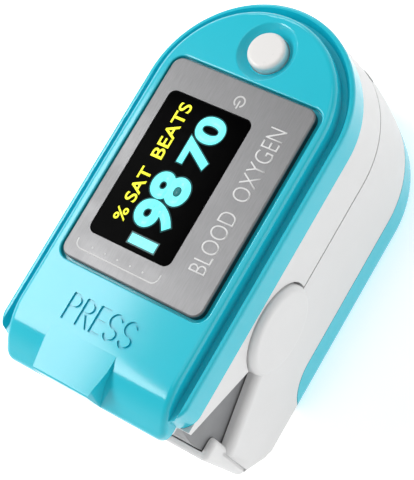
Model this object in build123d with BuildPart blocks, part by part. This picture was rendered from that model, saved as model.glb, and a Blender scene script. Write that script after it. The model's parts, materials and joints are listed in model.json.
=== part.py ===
"""Fingertip pulse oximeter, closed, standing on its battery door.

Millimetres, +Z up.  The origin is the middle of the footprint.  +Y points to the rounded end,
where the finger goes in, and -Y to the square end, which is pressed to open the jaws.
The lower half carries the cells, the upper half carries the display, and the two turn about a
cross axis through the ears.
"""

from build123d import *
from math import cos, radians, sin, tan
import os

os.makedirs("parts", exist_ok=True)

# ---- overall shape ----
side_x = 15.9  # half width of both white shells
nose_y = 13.5  # where the straight sides turn into the rounded finger end
bulge = 2.2  # how far the nose swells at its fullest
bulge_z = 12.0  # height of the fullest part of the nose
bulge_span = 16.0  # the swelling has died away this far above and below
seam_z = 19.5  # parting line of the halves
seam_gap = 0.15  # half of the gap at the parting line
wall = 1.8  # shell thickness
fit_gap = 0.2  # between pieces that only nest

# ---- hinge ----
pivot_y = -10.3
pivot_z = 20.3
pin_r = 1.25
pin_play = 0.05  # radial, in the upper half's lugs
lug_x0 = 12.7  # inner face of the hinge lugs
ear_y_r = 6.8  # the ear is an ellipse about the pivot
ear_z_r = 6.2
ear_dome = 1.0
ear_gap = 0.35

# ---- press end of the lower half ----
cheek_end_y = -28.0  # the side cheeks stop here
cheek_slope = 21.0  # the cheek's top edge runs down from the pivot at this angle
end_block_x = 15.2  # half width of the end block that stands past the cheeks
end_top_y = -30.65
end_top_z = 17.9
end_low_y = -29.35
end_low_z = 5.0
step_y = -27.15  # the end wall's raised edge starts here
skirt_r = 19.3  # the skirt's end wall is an arc of this radius about the pivot
skirt_x0 = 12.8  # inner face of the skirt's side walls
skirt_slope = 24.0
skirt_slot_z = 7.6
base_round = 2.3
web_z = 13.6  # top of the floor above the cells
web_thick = 1.05

# ---- cover ----
cover_x = 16.2  # half width of the cover's band
band_z = 27.8
groove_z = 31.1
rim_z = 32.15
plateau_x = 14.15
groove_x = 14.9  # half width of the groove's floor
plateau_z = 33.9
cover_end_y = -31.6
end_slope_y = -27.3  # the top slopes down from here to the end
end_slope_z = 29.3
fold_r = 9.0  # soft fold between the flat top and the end slope
flange_end_y = -29.15
tongue_x = -1.5  # the thumb tongue sits a little left of the middle
tongue_half = 5.6
tongue_taper = 0.8

# ---- engraved word ----
letter_high = 3.7
bowl_r = letter_high / 4
stroke = 0.36
word_depth = 0.3
word_x = -6.35  # where the first letter starts
word_y = -23.7  # the letters' feet

# ---- display ----
plate_half_x = 12.08
plate_half_y = 16.15
plate_y = 0.2
plate_z = 34.2
plate_gap = 0.42  # between the plate and the cover
plate_gap_right = 0.85  # the gap is wider on this side
window_x = -2.8
window_half_x = 7.1
window_half_y = 11.6

# ---- button ----
button_y = 21.7
button_r = 2.85
button_z = 34.25
dish_r = 4.45
dish_depth = 1.3
button_travel = 0.4

# ---- cells ----
cell_r = 5.25
cell_x = 5.45
cell_z = 6.85
cell_length = 43.7
cell_y0 = -20.9
nub_r = 1.9
nub_length = 0.8

# ---- battery door ----
door_wall = 1.3
door_top_z = 5.8
door_turn_y = -10.4  # the door's side walls curve down to the base from here
door_tab_half = 11.5
door_tab_y = -24.3
door_gap = 0.15

# ---- finger channel ----
channel_half_x = 8.6
channel_half_z = 4.0
channel_y0 = -7.5
pad_half_x = 9.9
pad_y0 = -9.3
pad_depth = 4.9  # from the parting line to the pad's back
mouth_extra = 0.35
sensor_y = 8.0

far = 60.0  # longer than anything on the object


def nose_reach(z):
    """How far the rounded end stands out from nose_y at height z."""
    return side_x + bulge * (1 - ((z - bulge_z) / bulge_span) ** 2)


def shell_block(z_low, z_high, inset, end_y):
    """Solid with the white shells' plan, set in by inset, lofted between two heights."""
    with BuildPart() as block:
        for share in (0, 0.35, 0.7, 1):
            z = z_low + share * (z_high - z_low)
            half = side_x - inset
            with BuildSketch(Plane.XY.offset(z)):
                with BuildLine():
                    Line((half, end_y), (half, nose_y))
                    EllipticalCenterArc((0, nose_y), half, nose_reach(z) - inset, arc_size=180)
                    Line((-half, nose_y), (-half, end_y))
                    Line((-half, end_y), (half, end_y))
                make_face()
        loft()
    return block.part


def round_block(half, end_y, z_low, z_high):
    """Straight-sided solid with a half-round nose, as the cover's layers have."""
    with BuildPart() as block:
        with BuildSketch(Plane.XY.offset(z_low)):
            with BuildLine():
                Line((half, end_y), (half, nose_y))
                CenterArc((0, nose_y), half, 0, 180)
                Line((-half, nose_y), (-half, end_y))
                Line((-half, end_y), (half, end_y))
            make_face()
        extrude(amount=z_high - z_low)
    return block.part


def side_slab(points, half=far):
    """Solid whose outline in the YZ plane is the given polygon, as wide as 2 x half."""
    with BuildPart() as slab:
        with BuildSketch(Plane.YZ):
            with BuildLine():
                Polyline(*points, close=True)
            make_face()
        extrude(amount=half, both=True)
    return slab.part


def box_between(low, high):
    """Box between two opposite corners."""
    with BuildPart() as box:
        with Locations([tuple((a + b) / 2 for a, b in zip(low, high))]):
            Box(*(b - a for a, b in zip(low, high)))
    return box.part


def channel_core(half_x, half_z, y_low, y_high):
    """Oval bar along Y about the parting line, closed by a dome at its inner end."""
    with BuildPart() as core:
        with BuildSketch(Plane.XZ.offset(-y_low - half_x)):
            with Locations((0, seam_z)):
                Ellipse(half_x, half_z)
        extrude(amount=-(y_high - y_low - half_x))
        with BuildSketch(Plane.XY.offset(seam_z)):
            with Locations((0, y_low + half_x)):
                Circle(half_x)
        extrude(amount=half_z * 0.55, both=True)
    return core.part


def tile(centre, width, length, z_low, z_high, corner=0.3):
    """Upright block with rounded vertical edges."""
    with BuildPart() as block:
        with BuildSketch(Plane.XY.offset(z_low)):
            with Locations(centre):
                RectangleRounded(width, length, corner)
        extrude(amount=z_high - z_low)
    return block.part


def posts(centres, radius, z_low, z_high):
    """Upright round posts of one size at several places."""
    with BuildPart() as rods:
        with BuildSketch(Plane.XY.offset(z_low)):
            with Locations(*centres):
                Circle(radius)
        extrude(amount=z_high - z_low)
    return rods.part


def along_y(x, z, radius, y_low, y_high):
    """Round bar along Y."""
    with BuildPart() as bar:
        with BuildSketch(Plane.XZ.offset(-y_low)):
            with Locations((x, z)):
                Circle(radius)
        extrude(amount=-(y_high - y_low))
    return bar.part


def along_x(radius, x_low, x_high, y=pivot_y, z=pivot_z):
    """Round bar along X, on the hinge axis unless told otherwise."""
    with BuildPart() as bar:
        with BuildSketch(Plane.YZ.offset(x_low)):
            with Locations((y, z)):
                Circle(radius)
        extrude(amount=x_high - x_low)
    return bar.part


def door_zone(top):
    """The space of the battery door: below top, its rear end a quarter circle down to the base."""
    with BuildPart() as zone:
        with BuildSketch(Plane.YZ):
            with BuildLine():
                Line((door_turn_y - top, -1), (door_turn_y - top, 0))
                CenterArc((door_turn_y, 0), top, 90, 90)
                Polyline((door_turn_y, top), (far, top), (far, -1))
                Line((far, -1), (door_turn_y - top, -1))
            make_face()
        extrude(amount=far, both=True)
    return zone.part


def both_sides(piece):
    """A piece together with its mirror image across the middle plane."""
    return Compound([*piece.solids(), *mirror(piece, about=Plane.YZ).solids()])


def write(piece, name):
    """Label one finished piece and save it."""
    piece.label = name
    export_step(piece, f"parts/{name}.step")


# ---- shared solids ----
lower_outer = shell_block(0, seam_z - seam_gap, 0, cheek_end_y)
mouth = channel_core(channel_half_x + mouth_extra, channel_half_z + mouth_extra, 5, 40)
channel = channel_core(channel_half_x, channel_half_z, channel_y0, 40)
lug_x1 = side_x - wall - fit_gap
upper_screw_spots = [(-11.9, 16.5), (11.9, 16.5), (-11.2, -21.5), (11.2, -21.5)]
lower_screw_spots = [(-12.5, 14.5), (12.5, 14.5), (-12.5, 2.0), (12.5, 2.0)]
cell_y1 = cell_y0 + cell_length

# The cheek's top edge falls away from the pivot towards the press end.
cheek_tan = tan(radians(cheek_slope))
cheek_top_z = pivot_z + (cheek_end_y - pivot_y) * cheek_tan
cheek_seam_y = pivot_y - (pivot_z - seam_z + seam_gap) / cheek_tan
with BuildPart() as cheek_side:
    with BuildSketch(Plane.YZ):
        with BuildLine():
            Polyline((far, 0), (-22.6, 0), (-26.9, 6.2), (cheek_end_y, cheek_top_z))
            Line((cheek_end_y, cheek_top_z), (cheek_seam_y, seam_z))
            Polyline((cheek_seam_y, seam_z), (far, seam_z), (far, 0))
        make_face()
        fillet(vertices().filter_by(lambda v: v.X < -20 and v.Y < 7), 4.5)
    extrude(amount=far, both=True)

with BuildPart() as end_side:
    with BuildSketch(Plane.YZ):
        with BuildLine():
            Polyline((-18, 0), (-24.9, 0), (end_low_y, end_low_z), (end_top_y, end_top_z))
            Polyline((end_top_y, end_top_z), (step_y, end_top_z), (step_y, 12), (-18, 12))
            Line((-18, 12), (-18, 0))
        make_face()
        fillet(vertices().filter_by(lambda v: v.X < -24 and v.Y < 7), 2.0)
        fillet(vertices().filter_by(lambda v: v.X > step_y - 1 and v.Y > 17), 0.9)
    extrude(amount=far, both=True)

# ---- lower housing ----
with BuildPart() as lower_shell:
    add(lower_outer)
    fillet(lower_shell.faces().sort_by(Axis.Z)[0].edges(), base_round)

with BuildPart() as lower_body:
    add(lower_shell.part)
    add(cheek_side.part, mode=Mode.INTERSECT)
    cheek_top = edges().filter_by(
        lambda e: abs(e.center().Z - (cheek_top_z + seam_z - seam_gap) / 2) < 1.2
        and abs(abs(e.center().X) - side_x) < 0.05
        and e.length > 8
    )
    fillet(cheek_top, 1.1)

with BuildPart() as end_block:
    add(box_between((-end_block_x, -far, 0), (end_block_x, -17, far)))
    add(end_side.part, mode=Mode.INTERSECT)
    fillet(edges().filter_by(lambda e: abs(e.center().X) > 15 and e.center().Y < -29 and e.length > 9), 1.0)
    fillet(edges().filter_by(lambda e: e.center().Z > end_top_z - 0.01 and e.center().Y < -28.7), 0.8)

# The skirt's end wall and its side walls swing in these spaces.
with BuildPart() as end_cavity:
    add(along_x(skirt_r + fit_gap, -side_x + wall, side_x - wall))
    add(box_between((-far, -far, 10.8), (far, -24.6, far)), mode=Mode.INTERSECT)
with BuildPart() as side_slot:
    add(along_x(skirt_r + fit_gap, skirt_x0 - fit_gap, side_x - wall))
    add(box_between((-far, -far, skirt_slot_z), (far, -12, far)), mode=Mode.INTERSECT)

with BuildPart() as cell_bay:
    add(box_between((-10.9, -23.4, -1), (10.9, 24.6, web_z - web_thick)))
    add(shell_block(-1, web_z - web_thick, 2.3, -30), mode=Mode.INTERSECT)

with BuildPart() as ear:
    with BuildSketch(Plane.YZ.offset(side_x - wall)):
        with Locations((pivot_y, pivot_z)):
            Ellipse(ear_y_r, ear_z_r)
    extrude(amount=wall + ear_dome)
    fillet(edges().group_by(Axis.X)[-1], ear_dome * 0.95)
    with BuildSketch(Plane.YZ.offset(side_x - wall)):
        with Locations((pivot_y, pivot_z)):
            Circle(pin_r)
    extrude(amount=wall - 0.1, mode=Mode.SUBTRACT)

core_inset = door_wall + door_gap
# A narrow groove separates each cheek's end from the end block.
shadow_gap = box_between((end_block_x - 0.4, cheek_end_y - 0.45, 4.6), (far, cheek_end_y, cheek_top_z + 0.6))
with BuildPart() as lower_housing:
    add(lower_body.part)
    add(door_zone(door_top_z + door_gap), mode=Mode.SUBTRACT)
    add(shell_block(core_inset, door_top_z + 1, core_inset, -17.5))
    add(end_block.part)
    add(both_sides(shadow_gap), mode=Mode.SUBTRACT)
    add(shell_block(web_z, seam_z + 1, wall, -24.8), mode=Mode.SUBTRACT)
    add(end_cavity.part, mode=Mode.SUBTRACT)
    add(both_sides(side_slot.part), mode=Mode.SUBTRACT)
    add(cell_bay.part, mode=Mode.SUBTRACT)
    add(mouth, mode=Mode.SUBTRACT)
    door_rail_room = box_between((14.0 - door_gap, -6.3, 3.05), (side_x, 20, 4.15))
    add(both_sides(door_rail_room), mode=Mode.SUBTRACT)
    tab_room = box_between(
        (-door_tab_half - door_gap, door_tab_y - door_gap, -1), (door_tab_half + door_gap, -8, core_inset)
    )
    add(tab_room, mode=Mode.SUBTRACT)
    add(along_x(pin_r, -side_x + 0.1, side_x - 0.1), mode=Mode.SUBTRACT)
    add(both_sides(ear.part))
    add(posts(lower_screw_spots, 0.75, 8.5, web_z + 1), mode=Mode.SUBTRACT)
write(lower_housing.part, "lower_housing")

# ---- battery door ----
with BuildPart() as battery_door:
    add(lower_shell.part)
    add(door_zone(door_top_z), mode=Mode.INTERSECT)
    add(shell_block(door_wall, door_top_z + 1, door_wall, -28), mode=Mode.SUBTRACT)
    add(both_sides(box_between((14.1, -6, 3.2), (14.9, 12, 4.0))))
    tab_length = -15.9 - door_tab_y
    add(tile((0, door_tab_y + tab_length / 2), 2 * door_tab_half, tab_length, 0, door_wall, 1.5))
    for step in range(5):
        with BuildSketch(Plane.XY):
            with Locations((0, 14 + 1.8 * step)):
                SlotOverall(12 - 1.2 * step, 0.8)
        extrude(amount=0.35, mode=Mode.SUBTRACT)
write(battery_door.part, "battery_door")

# ---- cells and contacts ----
for side, name in ((-1, "battery_cell_left"), (1, "battery_cell_right")):
    with BuildPart() as cell:
        add(along_y(side * cell_x, cell_z, cell_r, cell_y0, cell_y1))
        fillet(edges().filter_by(GeomType.CIRCLE), 0.4)
        if side < 0:
            add(along_y(side * cell_x, cell_z, nub_r, cell_y1 - 0.1, cell_y1 + nub_length))
        else:
            add(along_y(side * cell_x, cell_z, nub_r, cell_y0 - nub_length, cell_y0 + 0.1))
    write(cell.part, name)

link_y = cell_y1 + nub_length + 0.35
with BuildPart() as battery_contact_link:
    add(box_between((-8.5, link_y, 3.5), (8.5, link_y + 0.3, 10.5)))
    add(along_y(-cell_x, cell_z, 1.5, cell_y1 + nub_length, link_y + 0.1))
    add(along_y(cell_x, cell_z, 2.4, cell_y1, link_y + 0.1))
write(battery_contact_link.part, "battery_contact_link")

contact_y = -23.3
with BuildPart() as battery_contact_positive:
    add(box_between((cell_x - 3.6, contact_y, 3.2), (cell_x + 3.6, contact_y + 0.3, 10.5)))
    add(along_y(cell_x, cell_z, 1.5, contact_y + 0.1, cell_y0 - nub_length))
write(battery_contact_positive.part, "battery_contact_positive")

coil_plane = Plane(origin=(-cell_x, contact_y + 0.4, cell_z), x_dir=(1, 0, 0), z_dir=(0, 1, 0))
coil_wire = coil_plane * Helix(pitch=0.85, height=1.7, radius=3.3)
with BuildPart() as battery_contact_negative:
    add(box_between((-cell_x - 3.8, contact_y, 3.2), (-cell_x + 3.8, contact_y + 0.3, 10.5)))
    with BuildLine():
        add(coil_wire)
    with BuildSketch(Plane(origin=coil_wire @ 0, z_dir=coil_wire % 0)):
        Circle(0.25)
    sweep(path=coil_wire, is_frenet=True)
write(battery_contact_negative.part, "battery_contact_negative")

# ---- lower bed, pad and detector ----
pad_back_z = seam_z - pad_depth
with BuildPart() as lower_bed:
    add(shell_block(web_z + 0.05, seam_z - 0.3, wall + fit_gap, -1.0))
    add(box_between((-10.0, pad_y0 - 1.4, web_z + 0.05), (10.0, -0.5, seam_z - 0.3)))
    pocket_x = pad_half_x + fit_gap
    add(
        box_between((-pocket_x, pad_y0 - 0.2, pad_back_z - 0.05), (pocket_x, far, far)),
        mode=Mode.SUBTRACT,
    )
    add(box_between((-4.2, 3.0, 0), (4.2, 13.0, pad_back_z)), mode=Mode.SUBTRACT)
    add(box_between((-3.8, -12, 0), (3.8, 3.1, web_z + 0.4)), mode=Mode.SUBTRACT)
    add(posts(lower_screw_spots, 0.8, 0, far), mode=Mode.SUBTRACT)
    add(posts(lower_screw_spots, 1.45, 17.6, far), mode=Mode.SUBTRACT)
write(lower_bed.part, "lower_bed")

with BuildPart() as lower_finger_pad:
    add(shell_block(pad_back_z, seam_z - 0.3, wall + 0.25, pad_y0))
    add(box_between((-pad_half_x, pad_y0, 0), (pad_half_x, far, far)), mode=Mode.INTERSECT)
    add(channel, mode=Mode.SUBTRACT)
    add(tile((0, sensor_y), 5.6, 5.6, 14, 17, 0.2), mode=Mode.SUBTRACT)
write(lower_finger_pad.part, "lower_finger_pad")

write(tile((0, sensor_y), 8, 9.6, web_z + 0.05, pad_back_z - 0.2, 0.4), "detector_board")
write(tile((0, sensor_y), 3, 3, pad_back_z - 0.2, 15.0, 0.2), "photodiode")
write(tile((0, sensor_y), 5.4, 5.4, 15.0, seam_z - channel_half_z, 0.3), "detector_window")

# ---- upper housing ----
upper_side = side_slab(
    [(far, 0), (far, far), (-far, far), (-far, 26.9), (-28.8, 26.9), (-13.5, 19.65), (-13.5, 0)]
)
with BuildPart() as ear_room:
    with BuildSketch(Plane.YZ):
        with Locations((pivot_y, pivot_z)):
            Ellipse(ear_y_r + ear_gap, ear_z_r + ear_gap)
    extrude(amount=far, both=True)

with BuildPart() as upper_housing:
    add(shell_block(seam_z + seam_gap, band_z - 0.05, 0, -28.9))
    add(tile((0, -29.2), 27.2, 2.4, 24, band_z - 0.05, 0.8))
    add(upper_side, mode=Mode.INTERSECT)
    add(box_between((-12.3, -30.1, band_z - 0.5), (12.3, -28.5, 29.3)))
    add(round_block(14.9, -27.8, band_z - 0.1, 30.2))
    add(round_block(13.9, -28.0, band_z - 1, 31), mode=Mode.SUBTRACT)
    add(shell_block(seam_z - 2, band_z - 0.3, wall, -28.0), mode=Mode.SUBTRACT)
    add(box_between((-12.2, -29.1, 10), (12.2, -27, far)), mode=Mode.SUBTRACT)
    add(ear_room.part, mode=Mode.SUBTRACT)
    add(mouth, mode=Mode.SUBTRACT)
write(upper_housing.part, "upper_housing")

# ---- upper frame: plate, finger walls, skirt and hinge lugs ----
plate_low = 24.6
plate_high = 25.6
skirt_tan = tan(radians(skirt_slope))
skirt_side = side_slab(
    [
        (pivot_y, pivot_z),
        (pivot_y - 30, pivot_z - 30 * skirt_tan),
        (-far, plate_high),
        (pivot_y, plate_high),
    ]
)
with BuildPart() as skirt_cheek:
    add(along_x(skirt_r, skirt_x0, lug_x1))
    add(skirt_side, mode=Mode.INTERSECT)

with BuildPart() as skirt_end:
    add(along_x(skirt_r, -lug_x1, lug_x1))
    add(along_x(skirt_r - 1.1, -lug_x1, lug_x1), mode=Mode.SUBTRACT)
    add(box_between((-far, -far, 16.4), (far, -20, 26.4)), mode=Mode.INTERSECT)

with BuildPart() as upper_frame:
    add(shell_block(seam_z + 0.3, plate_high, wall + fit_gap, -0.5))
    add(box_between((-lug_x1, -28.4, plate_low), (lug_x1, 0, plate_high)))
    pocket_z = seam_z + pad_depth + 0.05
    add(box_between((-pocket_x, -5, 0), (pocket_x, far, pocket_z)), mode=Mode.SUBTRACT)
    add(skirt_end.part)
    add(both_sides(skirt_cheek.part))
    add(both_sides(along_x(4.5, lug_x0, lug_x1)))
    add(along_x(pin_r + pin_play, -far, far), mode=Mode.SUBTRACT)
    add(box_between((-4.2, -14.2, plate_low - 1), (4.2, -11.6, far)), mode=Mode.SUBTRACT)
    add(tile((0, sensor_y), 8.4, 10, 24.9, far, 0.4), mode=Mode.SUBTRACT)
    add(tile((0, sensor_y), 7, 8.6, 20, far, 0.4), mode=Mode.SUBTRACT)
    add(posts(upper_screw_spots, 0.85, 0, far), mode=Mode.SUBTRACT)
    add(posts(upper_screw_spots, 1.45, 0, plate_low), mode=Mode.SUBTRACT)
write(upper_frame.part, "upper_frame")

with BuildPart() as upper_finger_pad:
    add(shell_block(seam_z + 0.3, seam_z + pad_depth, wall + 0.25, pad_y0))
    add(box_between((-pad_half_x, pad_y0, 0), (pad_half_x, far, far)), mode=Mode.INTERSECT)
    add(channel, mode=Mode.SUBTRACT)
    add(tile((0, sensor_y), 5.6, 5.6, 22, 26, 0.2), mode=Mode.SUBTRACT)
write(upper_finger_pad.part, "upper_finger_pad")

write(tile((0, sensor_y), 8, 9.6, 24.9, plate_high, 0.4), "emitter_board")
write(tile((0, sensor_y), 3, 3, 24.0, 24.9, 0.2), "emitter_led")
write(tile((0, sensor_y), 5.4, 5.4, seam_z + channel_half_z, 24.0, 0.3), "emitter_window")

# ---- top cover ----
with BuildPart() as cover_band:
    add(round_block(cover_x, flange_end_y, band_z, rim_z))
    rear = edges().filter_by(Axis.Z).group_by(Axis.Y)[0]
    fillet(rear, 3.0)
    fillet(faces().sort_by(Axis.Z)[-1].edges(), 0.5)
    with BuildSketch(Plane.XY.offset(groove_z)):
        with BuildLine():
            Line((groove_x, -far), (groove_x, nose_y))
            CenterArc((0, nose_y), groove_x, 0, 180)
            Line((-groove_x, nose_y), (-groove_x, -far))
            Line((-groove_x, -far), (groove_x, -far))
        make_face()
    extrude(amount=1.5, taper=-30, mode=Mode.SUBTRACT)

with BuildPart() as cover_side:
    with BuildSketch(Plane.YZ):
        with BuildLine():
            Polyline((far, 28.3), (cover_end_y, 28.3), (cover_end_y, end_slope_z), (end_slope_y, plateau_z))
            Polyline((end_slope_y, plateau_z), (far, plateau_z), (far, 28.3))
        make_face()
        fillet(vertices().filter_by(lambda v: v.Y > 33 and v.X < 0), fold_r)
    extrude(amount=far, both=True)

with BuildPart() as plateau:
    add(round_block(plateau_x, cover_end_y, 28.0, plateau_z))
    fillet(edges().filter_by(Axis.Z).group_by(Axis.Y)[0], 1.5)
    add(cover_side.part, mode=Mode.INTERSECT)
    # The rounding runs on along every edge that meets this one smoothly.
    fillet(faces().filter_by(Plane.XY).sort_by(Axis.Z)[-1].edges().sort_by(Axis.X)[-1], 0.9)
    recess_x = (plate_gap_right - plate_gap) / 2
    recess_width = 2 * plate_half_x + plate_gap + plate_gap_right
    recess = tile((recess_x, plate_y), recess_width, 2 * (plate_half_y + plate_gap), 32.9, far, 1.9)
    add(recess, mode=Mode.SUBTRACT)
    with BuildSketch(Plane.XY.offset(plateau_z)):
        with Locations((0, button_y)):
            Circle(dish_r)
    extrude(amount=-dish_depth, taper=45, mode=Mode.SUBTRACT)
    top_face = faces().filter_by(Plane.XY).sort_by(Axis.Z)[-1]
    fillet([edge for wire in top_face.inner_wires() for edge in wire.edges()], 0.25)

with BuildPart() as tongue:
    tongue_end_half = tongue_half - tongue_taper
    with BuildSketch(Plane.XY.offset(28.3)):
        with BuildLine():
            Polyline(
                (tongue_x - tongue_half, -25),
                (tongue_x - tongue_half, end_slope_y),
                (tongue_x - tongue_end_half, cover_end_y),
                (tongue_x + tongue_end_half, cover_end_y),
                (tongue_x + tongue_half, end_slope_y),
                (tongue_x + tongue_half, -25),
                close=True,
            )
        make_face()
    extrude(amount=plateau_z - 0.15 - 28.3)
    fillet(edges().filter_by(lambda e: e.center().Y < -31.2 and e.center().Z > 33.7), 0.4)


def straight_stroke(start, end):
    """Round-ended straight stroke of a letter."""
    middle = ((start[0] + end[0]) / 2, (start[1] + end[1]) / 2)
    SlotCenterPoint(middle, end, stroke)


def round_stroke(centre, start, end):
    """Round-ended arc of a letter, its angles in degrees."""
    SlotArc(Edge.make_circle(bowl_r, Plane(centre), start, end), stroke)


def letter_stem():
    straight_stroke((0, 0), (0, letter_high))


def letter_p():
    letter_stem()
    round_stroke((0.7, letter_high - bowl_r), -90, 90)
    straight_stroke((0, letter_high), (0.7, letter_high))
    straight_stroke((0, letter_high / 2), (0.7, letter_high / 2))


def letter_r():
    letter_p()
    straight_stroke((0.7, letter_high / 2), (1.75, 0))


def letter_e():
    letter_stem()
    for height in (0, letter_high / 2, letter_high):
        straight_stroke((0, height), (1.5, height))


def letter_s():
    round_stroke((bowl_r, letter_high - bowl_r), 25, 270)
    round_stroke((bowl_r, bowl_r), -155, 90)


with BuildPart() as word:
    with BuildSketch(Plane.XY.offset(plateau_z - word_depth)):
        spelling = ((0, letter_p), (2.35, letter_r), (4.8, letter_e), (6.95, letter_s), (9.5, letter_s))
        for shift, letter in spelling:
            with Locations((word_x + shift, word_y)):
                letter()
    extrude(amount=1)

with BuildPart() as top_cover:
    add(cover_band.part)
    add(plateau.part)
    add(tongue.part)
    add(round_block(15.0, -27.9, 20, 30.25), mode=Mode.SUBTRACT)
    add(box_between((-12.6, -30.3, 20), (12.6, -27, 29.6)), mode=Mode.SUBTRACT)
    add(round_block(12.75, -25.5, 30, 32.4), mode=Mode.SUBTRACT)
    add(posts(upper_screw_spots, 1.5, plate_high + 0.1, 32.6))
    add(posts(upper_screw_spots, 0.75, 0, 31.5), mode=Mode.SUBTRACT)
    add(tile((window_x, 0), 13.0, 22.0, 30, far, 1.0), mode=Mode.SUBTRACT)
    add(posts([(0, button_y)], button_r + 0.13, 30, far), mode=Mode.SUBTRACT)
    add(word.part, mode=Mode.SUBTRACT)
write(top_cover.part, "top_cover")

# ---- display ----
window_hole = tile((window_x, 0), 2 * window_half_x, 2 * window_half_y, 33.3, far, 1.2)
with BuildPart() as face_plate:
    add(tile((0, plate_y), 2 * plate_half_x, 2 * plate_half_y, 33.75, plate_z, 1.6))
    chamfer(faces().sort_by(Axis.Z)[-1].edges(), 0.18)
    add(window_hole, mode=Mode.SUBTRACT)
write(face_plate.part, "face_plate")

with BuildPart() as display_bezel:
    add(tile((0, plate_y), 2 * plate_half_x, 2 * plate_half_y, 32.9, 33.75, 1.6))
    add(window_hole, mode=Mode.SUBTRACT)
    add(tile((window_x, 0), 13.0, 22.0, 30, far, 1.0), mode=Mode.SUBTRACT)
write(display_bezel.part, "display_bezel")

window_tile = tile((window_x, 0), 2 * window_half_x - 0.3, 2 * window_half_y - 0.3, 33.3, 34.05, 1.1)
write(window_tile, "display_window")
write(tile((-2.0, 0), 19.3, 26.7, 30.9, 32.3, 0.4), "oled_panel")

board_top = 29.0
with BuildPart() as oled_frame:
    add(tile((-2.0, 0), 21.3, 28.7, board_top, 32.3, 0.8))
    add(tile((-2.0, 0), 19.5, 26.9, 30.9, far, 0.5), mode=Mode.SUBTRACT)
    add(tile((-2.0, 0), 17.5, 24.9, 20, far, 0.5), mode=Mode.SUBTRACT)
write(oled_frame.part, "oled_frame")

# ---- main board ----
with BuildPart() as main_board:
    add(round_block(13.5, -26.5, board_top - 1, board_top))
    add(box_between((-12.7, -far, 0), (12.7, far, far)), mode=Mode.INTERSECT)
    add(posts(upper_screw_spots, 1.8, 0, far), mode=Mode.SUBTRACT)
    add(posts([(-5, -23.5), (5, -23.5)], 0.8, 0, far), mode=Mode.SUBTRACT)
write(main_board.part, "main_board")
write(tile((2.5, -19.5), 7, 7, board_top, board_top + 1, 0.3), "controller_chip")

with BuildPart() as small_chips:
    with BuildSketch(Plane.XY.offset(board_top)):
        with GridLocations(2.4, 2.2, 3, 3):
            with Locations((-5.0, -19.5)):
                Rectangle(1.6, 0.8)
    extrude(amount=0.6)
write(small_chips.part, "small_chips")

# ---- power button and its switch ----
with BuildPart() as tact_switch:
    add(tile((0, button_y), 6, 6, board_top, board_top + 2, 0.4))
    add(posts([(0, button_y)], 1.7, board_top + 1, far), mode=Mode.SUBTRACT)
write(tact_switch.part, "tact_switch")
write(posts([(0, button_y)], 1.6, 30.5, 31.65), "switch_plunger")

with BuildPart() as power_button:
    add(posts([(0, button_y)], button_r, 31.65, button_z))
    fillet(faces().sort_by(Axis.Z)[-1].edges(), 0.55)
    add(posts([(0, button_y)], 3.5, 31.65, 32.15))
write(power_button.part, "power_button")

# ---- hinge pins and torsion springs ----
with BuildPart() as hinge_pin:
    add(along_x(pin_r, 10.35, side_x - 0.1))
    add(along_x(1.75, 10.35, 10.85))
write(hinge_pin.part, "hinge_pin_right")
write(mirror(hinge_pin.part, about=Plane.YZ), "hinge_pin_left")

leg_low = 27.0  # the legs' slopes, in degrees
leg_high = 12.0
coil_start = leg_low - 90
coil_turn = 720 + 180 - leg_low - leg_high
coil_pitch = 0.48
spring_plane = Plane(
    origin=(11.15, pivot_y, pivot_z),
    x_dir=(0, cos(radians(coil_start)), sin(radians(coil_start))),
    z_dir=(1, 0, 0),
)
spring_coil = spring_plane * Helix(pitch=coil_pitch, height=coil_pitch * coil_turn / 360, radius=2.1)
with BuildPart() as torsion_spring:
    with BuildLine() as spring_wire:
        Line(spring_coil @ 0 - 9.2 * (spring_coil % 0), spring_coil @ 0)
        add(spring_coil)
        Line(spring_coil @ 1, spring_coil @ 1 + 7.8 * (spring_coil % 1))
    with BuildSketch(Plane(origin=spring_wire.wire() @ 0, z_dir=spring_wire.wire() % 0)):
        Circle(0.2)
    sweep(path=spring_wire.wire(), is_frenet=True)
write(torsion_spring.part, "torsion_spring_right")
write(mirror(torsion_spring.part, about=Plane.YZ), "torsion_spring_left")

# ---- flex lead between the halves ----
flex_top = board_top - 1.1
with BuildPart() as hinge_flex:
    with BuildSketch(Plane.YZ.offset(-3.5)):
        with BuildLine():
            Polyline((-12.9, 14.8), (-12.9, flex_top), (-13.1, flex_top), (-13.1, 14.8))
            CenterArc((-12.0, 14.8), 1.1, 180, 90)
            Polyline((-12.0, 13.7), (3.0, 13.7), (3.0, 13.9), (-12.0, 13.9))
            CenterArc((-12.0, 14.8), 0.9, 180, 90)
        make_face()
    extrude(amount=7)
write(hinge_flex.part, "hinge_flex")

# ---- screws ----
for spots, head_z, shaft_z, name in (
    (upper_screw_spots, plate_low - 1, 31.4, "upper_screws"),
    (lower_screw_spots, 17.6, 8.6, "lower_screws"),
):
    with BuildPart() as screws:
        add(posts(spots, 1.3, head_z, head_z + 1))
        add(posts(spots, 0.75, min(head_z + 0.5, shaft_z), max(head_z + 0.5, shaft_z)))
    write(screws.part, name)
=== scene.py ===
"""Looks of the fingertip pulse oximeter: materials, display, printing, pads, light and camera."""

import json
import math

import bmesh
import bpy
from mathutils import Matrix, Vector


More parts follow.
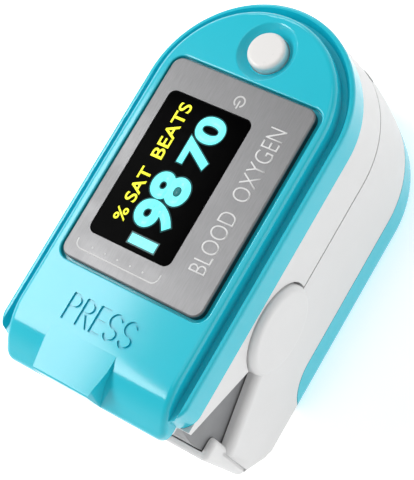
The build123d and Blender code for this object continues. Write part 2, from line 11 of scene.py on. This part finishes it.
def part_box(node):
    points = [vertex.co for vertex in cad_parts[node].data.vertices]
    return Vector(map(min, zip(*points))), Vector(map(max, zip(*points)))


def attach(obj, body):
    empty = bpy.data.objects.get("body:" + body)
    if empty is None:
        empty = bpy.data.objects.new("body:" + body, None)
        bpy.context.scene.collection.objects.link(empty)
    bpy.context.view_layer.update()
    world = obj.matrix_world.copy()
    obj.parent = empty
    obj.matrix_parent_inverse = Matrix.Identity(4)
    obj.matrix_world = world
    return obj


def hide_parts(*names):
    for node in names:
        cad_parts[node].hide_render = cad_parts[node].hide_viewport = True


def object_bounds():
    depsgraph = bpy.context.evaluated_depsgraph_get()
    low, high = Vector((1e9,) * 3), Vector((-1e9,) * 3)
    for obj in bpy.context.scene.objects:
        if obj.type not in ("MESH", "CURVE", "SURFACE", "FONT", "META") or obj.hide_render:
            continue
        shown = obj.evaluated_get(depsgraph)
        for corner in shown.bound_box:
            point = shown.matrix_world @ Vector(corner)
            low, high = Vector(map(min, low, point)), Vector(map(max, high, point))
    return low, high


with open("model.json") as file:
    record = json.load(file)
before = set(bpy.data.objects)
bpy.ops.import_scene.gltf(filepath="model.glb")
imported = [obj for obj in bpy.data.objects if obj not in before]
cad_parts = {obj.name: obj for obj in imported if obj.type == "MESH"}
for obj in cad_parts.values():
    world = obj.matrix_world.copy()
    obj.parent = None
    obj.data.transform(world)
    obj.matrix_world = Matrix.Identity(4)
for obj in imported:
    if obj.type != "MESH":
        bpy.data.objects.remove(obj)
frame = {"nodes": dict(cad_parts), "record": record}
nodes = frame["nodes"]
cad_low, cad_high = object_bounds()
MM = 0.001

bpy.context.scene.view_settings.view_transform = "Standard"
bpy.context.scene.view_settings.look = "None"


# ---- materials ----
def srgb(red, green, blue):
    """The linear colour of an sRGB triple given in 0 to 255."""
    return tuple(
        c / 12.92 if c <= 0.04045 else ((c + 0.055) / 1.055) ** 2.4
        for c in (red / 255, green / 255, blue / 255)
    ) + (1.0,)


def shade(colour, factor):
    """The same colour, lighter or darker."""
    return tuple(min(1.0, c * factor) for c in colour[:3]) + (1.0,)


class Look:
    """One procedural material, built up on a Principled shader."""

    def __init__(self, name, **values):
        self.material = bpy.data.materials.new(name)
        self.material.use_nodes = True
        self.tree = self.material.node_tree
        self.shader = self.tree.nodes["Principled BSDF"]
        self.coords = self.node("ShaderNodeTexCoord").outputs["Object"]
        for key, value in values.items():
            self.shader.inputs[key.replace("_", " ")].default_value = value

    def node(self, kind, **inputs):
        made = self.tree.nodes.new(kind)
        for key, value in inputs.items():
            made.inputs[key.replace("_", " ")].default_value = value
        return made

    def stretched(self, scale):
        """Object coordinates scaled along each axis."""
        mapping = self.node("ShaderNodeMapping", Scale=scale)
        self.tree.links.new(self.coords, mapping.inputs["Vector"])
        return mapping.outputs["Vector"]

    def noise(self, scale, detail=3.0, coords=None):
        made = self.node("ShaderNodeTexNoise", Scale=scale, Detail=detail)
        self.tree.links.new(coords or self.coords, made.inputs["Vector"])
        return made.outputs["Fac"]

    def vary(self, socket, fac, low, high, start=0.35, end=0.65):
        """Drives one number of the shader between two values."""
        made = self.node("ShaderNodeMapRange")
        for key, value in (("From Min", start), ("From Max", end), ("To Min", low), ("To Max", high)):
            made.inputs[key].default_value = value
        self.tree.links.new(fac, made.inputs["Value"])
        self.tree.links.new(made.outputs["Result"], self.shader.inputs[socket])

    def tint(self, fac, low, high, start=0.35, end=0.65):
        """Drives the base colour between two colours."""
        ramp = self.node("ShaderNodeValToRGB")
        ramp.color_ramp.elements[0].position = start
        ramp.color_ramp.elements[0].color = low
        ramp.color_ramp.elements[1].position = end
        ramp.color_ramp.elements[1].color = high
        self.tree.links.new(fac, ramp.inputs["Fac"])
        self.tree.links.new(ramp.outputs["Color"], self.shader.inputs["Base Color"])

    def bump(self, layers):
        """Stacks bumps; each layer is (height, strength, depth in metres)."""
        normal = None
        for height, strength, depth in layers:
            made = self.node("ShaderNodeBump", Strength=strength, Distance=depth)
            self.tree.links.new(height, made.inputs["Height"])
            if normal is not None:
                self.tree.links.new(normal, made.inputs["Normal"])
            normal = made.outputs["Normal"]
        self.tree.links.new(normal, self.shader.inputs["Normal"])


def moulded(name, colour, roughness, mottle=0.02, grain=0.25, grain_scale=2600.0, **values):
    """Moulded plastic: faint flow mottling, uneven sheen and a fine tool texture."""
    look = Look(name, **values)
    look.tint(look.noise(90.0, 4.0), shade(colour, 1 - mottle), shade(colour, 1 + mottle))
    look.vary("Roughness", look.noise(420.0, 3.0), roughness * 0.88, roughness * 1.12)
    look.bump([(look.noise(70.0, 2.0), 0.10, 0.00010), (look.noise(grain_scale, 2.0), grain, 0.000012)])
    return look.material


def metal(name, colour, roughness, streak=(40.0, 2600.0, 2600.0), depth=0.000004, **values):
    """Drawn or brushed metal with streaks along one axis."""
    look = Look(name, Metallic=1.0, **values)
    streaks = look.noise(1.0, 5.0, look.stretched(streak))
    look.tint(streaks, shade(colour, 0.90), shade(colour, 1.08))
    look.vary("Roughness", streaks, roughness * 0.8, roughness * 1.25)
    look.bump([(streaks, 0.35, depth)])
    return look.material


def glowing(name, colour, strength, fine=0.06):
    """A lit display element with the faint unevenness of its pixels."""
    look = Look(name, Roughness=0.35)
    look.tint(look.noise(3000.0, 1.0), shade(colour, 0.25), shade(colour, 0.3))
    look.shader.inputs["Emission Color"].default_value = colour
    look.vary("Emission Strength", look.noise(2500.0, 1.0), strength * (1 - fine), strength * (1 + fine))
    return look.material


CYAN = (0.006, 0.540, 0.675, 1.0)
looks = {
    "cyan_gloss": moulded(
        "cyan_gloss", CYAN, 0.40, 0.015, 0.08, 1900.0,
        Specular_IOR_Level=0.15, Coat_Weight=0.8, Coat_Roughness=0.11, Coat_IOR=1.6
    ),
    "white_shell": moulded("white_shell", srgb(226, 226, 226), 0.42, 0.012, 0.30, 3200.0),
    # Painted shade: the skirt is pale plastic, and this mid grey darkens it to the shade it lies in,
    # recessed under the upper shell.
    "grey_frame": moulded("grey_frame", srgb(130, 131, 133), 0.45, 0.03, 0.30, 3000.0),
    "black_plastic": moulded("black_plastic", srgb(22, 22, 24), 0.40, 0.05, 0.25),
    "white_button": moulded("white_button", srgb(232, 230, 228), 0.30, 0.012, 0.12, 2400.0),
    "chip_black": moulded("chip_black", srgb(28, 28, 30), 0.5, 0.08, 0.4),
    "led_clear": moulded("led_clear", srgb(220, 214, 190), 0.2, 0.03, 0.1),
    "silicone": moulded("silicone", srgb(74, 77, 82), 0.62, 0.04, 0.35, 1600.0),
    "cell_sleeve": moulded("cell_sleeve", srgb(46, 48, 54), 0.25, 0.04, 0.1),
    "switch_metal": metal("switch_metal", srgb(170, 170, 170), 0.4),
    "contact_metal": metal("contact_metal", srgb(190, 186, 172), 0.3),
    "pin_steel": metal("pin_steel", srgb(170, 171, 174), 0.28),
}


def plate_look():
    """Silver plate with a fine brushed grain along the object."""
    look = Look("brushed_plate", Metallic=0.85, Specular_IOR_Level=0.5)
    streaks = look.noise(1.0, 6.0, look.stretched((5200.0, 420.0, 2600.0)))
    cloud = look.noise(160.0, 3.0)
    look.tint(streaks, srgb(124, 124, 125), srgb(131, 131, 132))
    look.vary("Roughness", cloud, 0.36, 0.44)
    look.bump([(streaks, 0.12, 0.000004), (look.noise(2200.0, 2.0), 0.12, 0.000006)])
    return look.material


def window_look():
    """Near black display window with a hard clean surface."""
    look = Look("dark_window", Specular_IOR_Level=0.008)
    look.tint(look.noise(300.0, 2.0), (0.0004, 0.0004, 0.0005, 1), (0.0007, 0.0007, 0.0008, 1))
    look.vary("Roughness", look.noise(700.0, 3.0), 0.10, 0.16)
    look.bump([(look.noise(40.0, 1.0), 0.05, 0.00002)])
    return look.material


def clear_look():
    look = Look("clear_window", Transmission_Weight=0.85, IOR=1.46)
    look.tint(look.noise(500.0, 2.0), (0.72, 0.74, 0.76, 1), (0.80, 0.82, 0.84, 1))
    look.vary("Roughness", look.noise(900.0, 2.0), 0.05, 0.12)
    return look.material


def board_look():
    """Green solder mask over faint tracks."""
    look = Look("board_green")
    tracks = look.node("ShaderNodeTexBrick", Scale=420.0, Mortar_Size=0.03)
    look.tree.links.new(look.coords, tracks.inputs["Vector"])
    look.tint(tracks.outputs["Fac"], srgb(12, 78, 44), srgb(26, 112, 66), 0.0, 1.0)
    look.vary("Roughness", look.noise(800.0, 2.0), 0.30, 0.42)
    look.bump([(tracks.outputs["Fac"], 0.4, 0.00003)])
    return look.material


def flex_look():
    """Amber polyimide lead with conductors running along it."""
    look = Look("flex_film")
    lines = look.node("ShaderNodeTexWave", Scale=330.0, Distortion=0.0)
    look.tree.links.new(look.coords, lines.inputs["Vector"])
    look.tint(lines.outputs["Fac"], srgb(150, 92, 22), srgb(196, 132, 44), 0.3, 0.7)
    look.vary("Roughness", look.noise(600.0, 2.0), 0.28, 0.40)
    look.bump([(lines.outputs["Fac"], 0.3, 0.00002)])
    return look.material


looks["brushed_plate"] = plate_look()
looks["dark_window"] = window_look()
looks["clear_window"] = clear_look()
looks["board_green"] = board_look()
looks["flex_film"] = flex_look()
looks["print"] = moulded("plate_print", srgb(226, 226, 226), 0.5, 0.02, 0.2)
looks["print_faint"] = moulded("plate_print_faint", srgb(208, 208, 208), 0.5, 0.02, 0.2)
looks["readout"] = glowing("readout", (0.20, 1.0, 1.0, 1), 1.0)
looks["labels"] = glowing("labels", (1.0, 1.0, 0.045, 1), 1.0)
looks["glow_near"] = glowing("glow_near", (0.015, 0.16, 0.17, 1), 1.0)
looks["glow_far"] = glowing("glow_far", (0.003, 0.045, 0.05, 1), 1.0)

for row in frame["record"]["subparts"]:
    mesh = nodes[row["node"]].data
    mesh.materials.clear()
    mesh.materials.append(looks[row["material_slot"]])


# ---- small pieces drawn on the upper half ----
def finish_piece(obj, look, body="upper_half"):
    """Gives a new piece its material and the body that it rides on."""
    obj.data.materials.clear()
    obj.data.materials.append(looks[look])
    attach(obj, body)


def mesh_object(name, mesh):
    obj = bpy.data.objects.new(name, mesh)
    bpy.context.scene.collection.objects.link(obj)
    return obj


def flat_shape(name, strokes, width, z, thick, round_steps=10):
    """Thin raised plate made of round-ended strokes; points in millimetres, z at its underside."""
    curve = bpy.data.curves.new(name + "_line", "CURVE")
    curve.dimensions = "2D"
    curve.fill_mode = "BOTH"
    curve.extrude = thick * MM / 2
    for points in strokes:
        outline = stroke_outline(points, width / 2, round_steps)
        spline = curve.splines.new("POLY")
        spline.points.add(len(outline) - 1)
        for point, (x, y) in zip(spline.points, outline):
            point.co = (x * MM, y * MM, 0, 1)
        spline.use_cyclic_u = True
    holder = mesh_object(name + "_line", curve)
    holder.location.z = (z + thick / 2) * MM
    return to_mesh(holder, name)


def stroke_outline(points, half, steps):
    """Closed outline of a polyline with round ends and mitred corners."""
    line = [Vector(p) for p in points]
    closed = (line[0] - line[-1]).length < 1e-6
    left, right = [], []
    for i, p in enumerate(line):
        before = line[i] - line[i - 1] if i else line[1] - line[0]
        after = line[i + 1] - line[i] if i + 1 < len(line) else before
        if closed and i in (0, len(line) - 1):
            before, after = line[-1] - line[-2], line[1] - line[0]
        before, after = before.normalized(), after.normalized()
        side = Vector((-(before.y + after.y), before.x + after.x)).normalized()
        reach = half / max(0.5, side.dot(Vector((-before.y, before.x))))
        left.append(p + side * reach)
        right.append(p - side * reach)
    if closed:
        return [tuple(p) for p in left + right[::-1]]
    tail = round_end(line[-1], line[-1] - line[-2], half, steps)
    head = round_end(line[0], line[0] - line[1], half, steps)
    return [tuple(p) for p in left[:-1] + tail + right[-2:0:-1] + head]


def round_end(centre, direction, half, steps):
    start = math.atan2(direction.y, direction.x) + math.pi / 2
    angles = [start - math.pi * k / steps for k in range(steps + 1)]
    return [centre + half * Vector((math.cos(a), math.sin(a))) for a in angles]


def to_mesh(holder, name):
    """Turns a curve or text object into a mesh piece at the same place."""
    graph = bpy.context.evaluated_depsgraph_get()
    mesh = bpy.data.meshes.new_from_object(holder.evaluated_get(graph))
    mesh.transform(holder.matrix_world)
    bpy.data.objects.remove(holder)
    mesh.name = name
    return mesh_object(name, mesh)


def arc(centre, radius, start, end, steps=24):
    """Points along an arc, in degrees."""
    angles = [math.radians(start + (end - start) * k / steps) for k in range(steps + 1)]
    return [(centre[0] + radius * math.cos(a), centre[1] + radius * math.sin(a)) for a in angles]


def glyphs(text, weight):
    """Flat mesh of the characters in font units, their outlines moved out by weight."""
    font = bpy.data.curves.new(text + "_font", "FONT")
    font.body = text
    font.size = 1.0
    font.offset = weight
    font.resolution_u = 8
    return to_mesh(mesh_object(text + "_font", font), text)


def extent(mesh, axis):
    values = [v.co[axis] for v in mesh.vertices]
    return min(values), max(values)


def lettering(name, text, box, z, thick, weight=0.0, spread=0.0):
    """Characters that read along +Y with their tops towards -X, fitted to the box
    (x of the tops, x of the feet, y of the start, y of the end), in millimetres.
    A spread above zero makes the fatter shape that stands round the fitted one."""
    fitted = glyphs(text, weight)
    (x_low, x_high), (y_low, y_high) = extent(fitted.data, 0), extent(fitted.data, 1)
    piece = fitted
    if spread:
        bpy.data.objects.remove(fitted)
        piece = glyphs(text, weight + spread)
    piece.name = piece.data.name = name
    top, foot, start, end = box
    for v in piece.data.vertices:
        along = (v.co.x - x_low) / (x_high - x_low)
        rise = (v.co.y - y_low) / (y_high - y_low)
        v.co = Vector((foot + (top - foot) * rise, start + (end - start) * along, z)) * MM
    thicken(piece.data, thick * MM)
    return piece


def thicken(mesh, depth):
    """Gives a flat mesh a thickness upwards and closes its sides."""
    work = bmesh.new()
    work.from_mesh(mesh)
    bmesh.ops.remove_doubles(work, verts=work.verts, dist=1e-7)
    bmesh.ops.recalc_face_normals(work, faces=work.faces)
    grown = bmesh.ops.extrude_face_region(work, geom=work.faces[:])
    moved = [g for g in grown["geom"] if isinstance(g, bmesh.types.BMVert)]
    bmesh.ops.translate(work, verts=moved, vec=(0, 0, depth))
    bmesh.ops.recalc_face_normals(work, faces=work.faces)
    work.to_mesh(mesh)
    work.free()


window_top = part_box("display_window")[1].z / MM
plate_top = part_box("face_plate")[1].z / MM

# Outlines moved out (bolder) or in (lighter), in font units.
DIGIT_WEIGHT = 0.035
LABEL_WEIGHT = 0.012
CAPTION_WEIGHT = -0.012

# Thicknesses in millimetres.
LIT_THICK = 0.03
PRINT_THICK = 0.02
FAINT_THICK = 0.015

READOUTS = (
    ("digits_saturation", "98", (-4.95, 1.35, -7.95, 0.65)),
    ("digits_rate", "70", (-3.35, 1.30, 2.30, 10.15)),
)
# The lit shape, then two dim shapes that reach further out and lie lower: name suffix, look,
# spread in font units, thickness in millimetres.
LAYERS = (
    ("", "readout", 0.0, LIT_THICK),
    ("_glow_near", "glow_near", 0.012, 0.02),
    ("_glow_far", "glow_far", 0.026, 0.01),
)
for name, text, box in READOUTS:
    for suffix, look, spread, thick in LAYERS:
        piece = lettering(name + suffix, text, box, window_top, thick, DIGIT_WEIGHT, spread)
        finish_piece(piece, look)

BAR = (-3.4, 1.0, -10.55, -9.2)
FONT_UNIT = 9  # size in millimetres of one font unit of the digits, for the bar's glow
for suffix, look, spread, thick in LAYERS:
    grow = spread * FONT_UNIT
    x_low, x_high, y_low, y_high = BAR
    corners = [(x_low - grow, y_low - grow), (x_high + grow, y_low - grow)]
    corners += [(x_high + grow, y_high + grow), (x_low - grow, y_high + grow)]
    bar = mesh_object("pulse_bar" + suffix, bpy.data.meshes.new("pulse_bar" + suffix))
    bar.data.from_pydata([Vector((x, y, window_top)) * MM for x, y in corners], [], [(0, 1, 2, 3)])
    thicken(bar.data, thick * MM)
    finish_piece(bar, look)

for name, text, box in (
    ("label_saturation", "% SAT", (-7.55, -5.65, -8.5, -0.1)),
    ("label_rate", "BEATS", (-7.45, -5.45, 1.6, 10.4)),
):
    piece = lettering(name, text, box, window_top, LIT_THICK, LABEL_WEIGHT)
    finish_piece(piece, "labels")

# The ring is open towards the press end, where the stroke stands in it.
icon_x = 0.65
icon_ring = arc((icon_x, 13.45), 0.78, -55, 235)
icon_stroke = [(icon_x, 13.5), (icon_x, 12.45)]
icon = flat_shape("power_icon", [icon_ring, icon_stroke], 0.24, plate_top, PRINT_THICK)
finish_piece(icon, "print_faint")

CAPTION_BOX = (6.9, 9.6, -10.4, 12.0)
caption = lettering(
    "plate_caption", "BLOOD  OXYGEN", CAPTION_BOX, plate_top, PRINT_THICK, CAPTION_WEIGHT
)
finish_piece(caption, "print")

bracket_line = [
    (-10.3, -13.1),
    *arc((-9.3, -13.3), 1.0, 180, 270, 8),
    *arc((2.9, -13.3), 1.0, 270, 360, 8),
    (3.9, -12.8),
]
bracket = flat_shape("plate_bracket", [bracket_line], 0.20, plate_top, FAINT_THICK)
finish_piece(bracket, "print_faint")

dot_y = -13.5
dot_strokes = [[(x, dot_y), (x + 0.02, dot_y)] for x in (-7.6, -5.4, -3.2, -1.0, 1.2)]
dots = flat_shape("plate_dots", dot_strokes, 0.28, plate_top, FAINT_THICK)
finish_piece(dots, "print_faint")


# ---- silicone finger pads ----
def soft_pad(node, body):
    """Moulded silicone pad: the pad's solid with its edges drawn round and full."""
    piece = mesh_object(node.replace("_pad", "_cushion"), nodes[node].data.copy())
    remesh = piece.modifiers.new("even", "REMESH")
    remesh.mode = "VOXEL"
    remesh.voxel_size = 0.35 * MM
    soften = piece.modifiers.new("round", "SMOOTH")
    soften.iterations = 6
    soften.factor = 0.6
    graph = bpy.context.evaluated_depsgraph_get()
    piece.data = bpy.data.meshes.new_from_object(piece.evaluated_get(graph))
    piece.modifiers.clear()
    for face in piece.data.polygons:
        face.use_smooth = True
    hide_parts(node)
    finish_piece(piece, "silicone", body)


soft_pad("upper_finger_pad", "upper_half")
soft_pad("lower_finger_pad", "lower_half")


# ---- floor, light and camera ----
FLOOR_GAP = 0.00002
CAMERA_DISTANCE = 0.22377


def area_light(name, place, aim, size, power):
    """White softbox; place, aim and size in metres, power in watts."""
    light = bpy.data.lights.new(name, "AREA")
    light.shape = "RECTANGLE"
    light.size, light.size_y = size
    light.energy = power
    obj = bpy.data.objects.new(name, light)
    obj.location = place
    obj.rotation_euler = (Vector(aim) - Vector(place)).to_track_quat("-Z", "Y").to_euler()
    bpy.context.scene.collection.objects.link(obj)


def make_floor():
    """Pale paper sheet just under the object, bright enough to read as plain white."""
    mesh = bpy.data.meshes.new("floor")
    work = bmesh.new()
    bmesh.ops.create_grid(work, x_segments=8, y_segments=8, size=3.0)
    work.to_mesh(mesh)
    work.free()
    floor = mesh_object("floor", mesh)
    floor.location.z = cad_low.z - FLOOR_GAP
    look = Look("floor_paper", Roughness=0.9, Emission_Color=(1, 1, 1, 1), Emission_Strength=0.46)
    look.tint(look.noise(30.0, 3.0), (0.93, 0.93, 0.93, 1), (0.95, 0.95, 0.95, 1))
    mesh.materials.append(look.material)


make_floor()


def studio_world():
    """White surroundings, bright near the horizon and dim overhead."""
    world = bpy.data.worlds.new("studio")
    world.use_nodes = True
    tree = world.node_tree
    direction = tree.nodes.new("ShaderNodeTexCoord").outputs["Generated"]
    height = tree.nodes.new("ShaderNodeSeparateXYZ")
    fall = tree.nodes.new("ShaderNodeMapRange")
    fall.interpolation_type = "SMOOTHSTEP"
    for key, value in (("From Min", 0.10), ("From Max", 0.70), ("To Min", 0.85), ("To Max", 0.26)):
        fall.inputs[key].default_value = value
    tree.links.new(direction, height.inputs["Vector"])
    tree.links.new(height.outputs["Z"], fall.inputs["Value"])
    background = tree.nodes["Background"]
    background.inputs["Color"].default_value = (1, 1, 1, 1)
    tree.links.new(fall.outputs["Result"], background.inputs["Strength"])
    bpy.context.scene.world = world


studio_world()
area_light("softbox_left", (-0.325, -0.115, 0.40), (-0.325, -0.115, 0), (0.22, 0.45), 2.3)
area_light("softbox_top", (0.10, 0.10, 0.60), (0, 0, 0.02), (0.5, 0.5), 0.6)
area_light("softbox_back", (-0.24, 0.34, 0.28), (0, 0, 0.02), (0.16, 0.12), 0.22)
area_light("softbox_right", (0.48, 0.16, 0.12), (0, 0, 0.015), (0.4, 0.3), 0.3)

# back points from the object to the camera, level lies in the floor's plane.
azimuth, elevation, roll = math.radians(71.39), math.radians(59.09), math.radians(-43.44)
aim = Vector((3.586, -4.581, 27.838)) * MM
back = Vector(
    (
        math.sin(azimuth) * math.cos(elevation),
        -math.cos(azimuth) * math.cos(elevation),
        math.sin(elevation),
    )
)
level = Vector((math.cos(azimuth), math.sin(azimuth), 0))
right = level * math.cos(roll) + back.cross(level) * math.sin(roll)
up = back.cross(right)
place = aim + back * CAMERA_DISTANCE
lens = bpy.data.cameras.new("camera")
lens.lens = 122.75
lens.sensor_width = 36.0
lens.clip_start, lens.clip_end = 0.01, 10.0
camera = bpy.data.objects.new("camera", lens)
camera.matrix_world = Matrix(
    (
        (right.x, up.x, back.x, place.x),
        (right.y, up.y, back.y, place.y),
        (right.z, up.z, back.z, place.z),
        (0, 0, 0, 1),
    )
)
bpy.context.scene.collection.objects.link(camera)
bpy.context.scene.camera = camera
